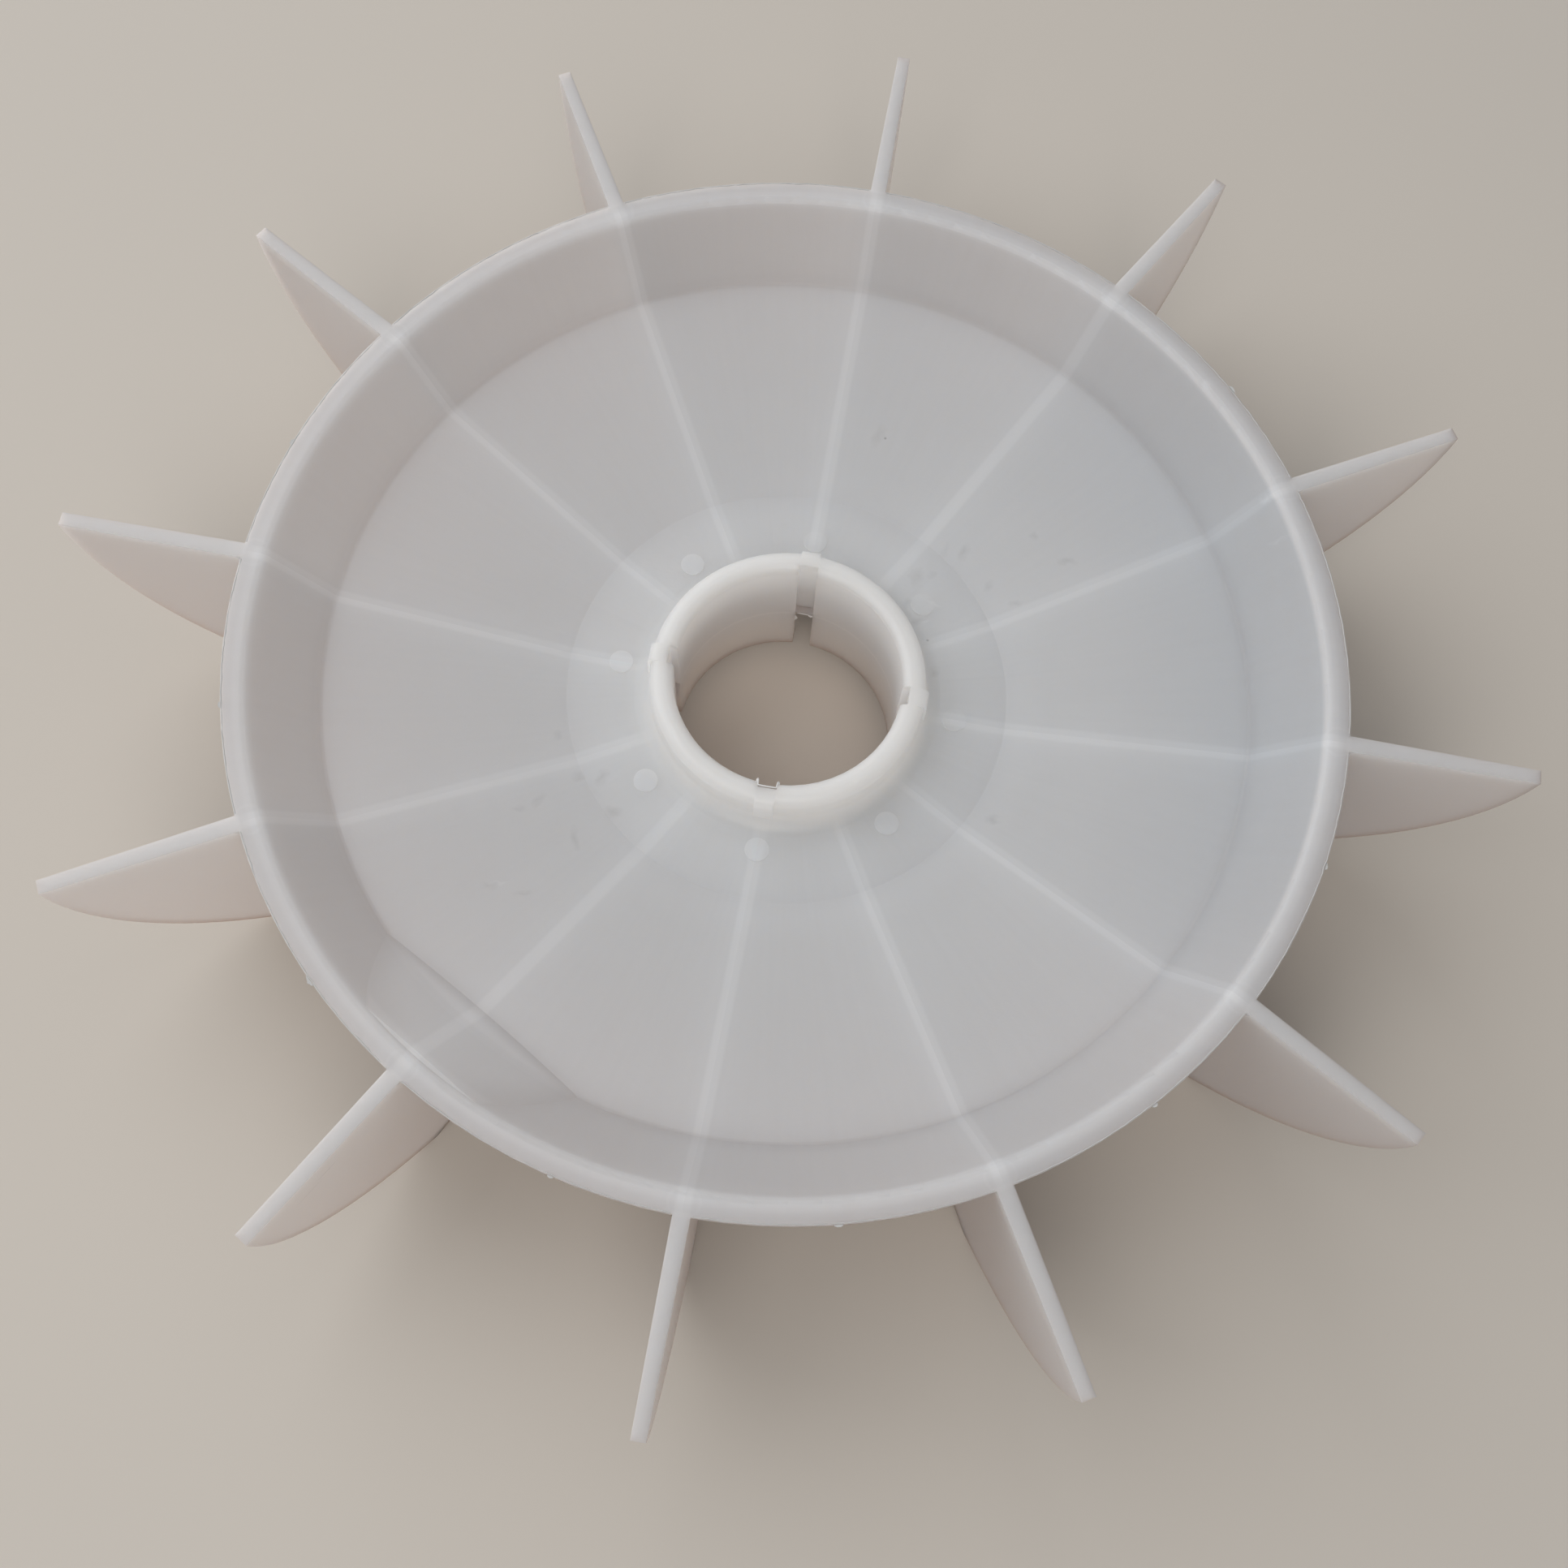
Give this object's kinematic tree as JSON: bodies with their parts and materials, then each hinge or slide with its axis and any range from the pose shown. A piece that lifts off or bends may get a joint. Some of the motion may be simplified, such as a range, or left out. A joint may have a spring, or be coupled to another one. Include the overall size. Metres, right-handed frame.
{
  "type": "radial-bladed motor cooling fan impeller",
  "caption": "Motor cooling fan moulded in one piece: open dish with a thick split hub and straight radial blades that reach out past its rim.",
  "frame": {"origin": "on the bore axis, in the plane that the lower corners of the blades stand on", "axes": "+Z along the bore, towards the open side of the dish; +X and +Y each along one blade and one slot of the bore"},
  "size_m": [0.238, 0.238, 0.0455],
  "materials": {
    "natural_polypropylene": "milky translucent natural polypropylene, satin as moulded"
  },
  "bodies": {
    "root": {"impeller": "natural_polypropylene"}
  },
  "joints": []
}
